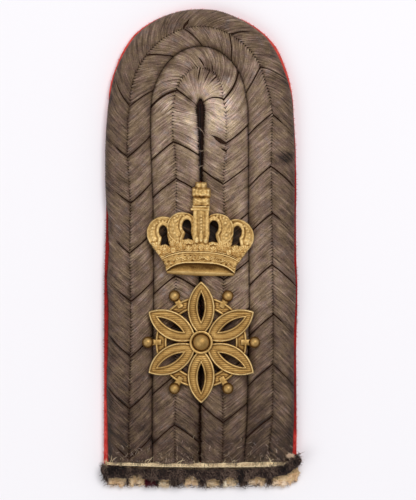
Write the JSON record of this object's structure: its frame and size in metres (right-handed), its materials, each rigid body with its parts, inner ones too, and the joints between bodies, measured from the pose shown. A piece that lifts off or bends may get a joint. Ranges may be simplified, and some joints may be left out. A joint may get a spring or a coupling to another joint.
{
  "type": "uniform shoulder strap",
  "caption": "Stiff felt-backed shoulder strap with U-laid padded metal-thread braid, a button slit at its round end, a frayed sewn end, a cast brass crown and a pierced brass rosette.",
  "frame": {"origin": "centre of the base of the bounding box, on the back of the felt", "axes": "+Y from the sewn end to the round button end, +X to the right as worn on the page, +Z out of the braided face"},
  "size_m": [0.0523, 0.1218, 0.0088],
  "materials": {
    "red_felt": "matt red wool felt, fuzzy at its cut edge",
    "metal_braid": "tarnished silver-grey brown metal thread braid with a soft sheen",
    "dark_thread": "matt dark brown buttonhole thread",
    "cotton_tape": "cream cotton tape, frayed",
    "undyed_felt": "undyed wool felt in loose tufts",
    "dark_wool": "dark brown wool yarn, matted and fuzzy",
    "gilt_brass": "cast and engraved brass, matt gilt flats, bright worn rims"
  },
  "bodies": {
    "root": {"felt_base": "red_felt", "outer_braid": "metal_braid", "inner_braid": "metal_braid", "buttonhole_binding": "dark_thread", "end_tape": "cotton_tape", "natural_felt": "undyed_felt", "wool_overcast": "dark_wool", "crown": "gilt_brass", "ornament": "gilt_brass"}
  },
  "joints": []
}
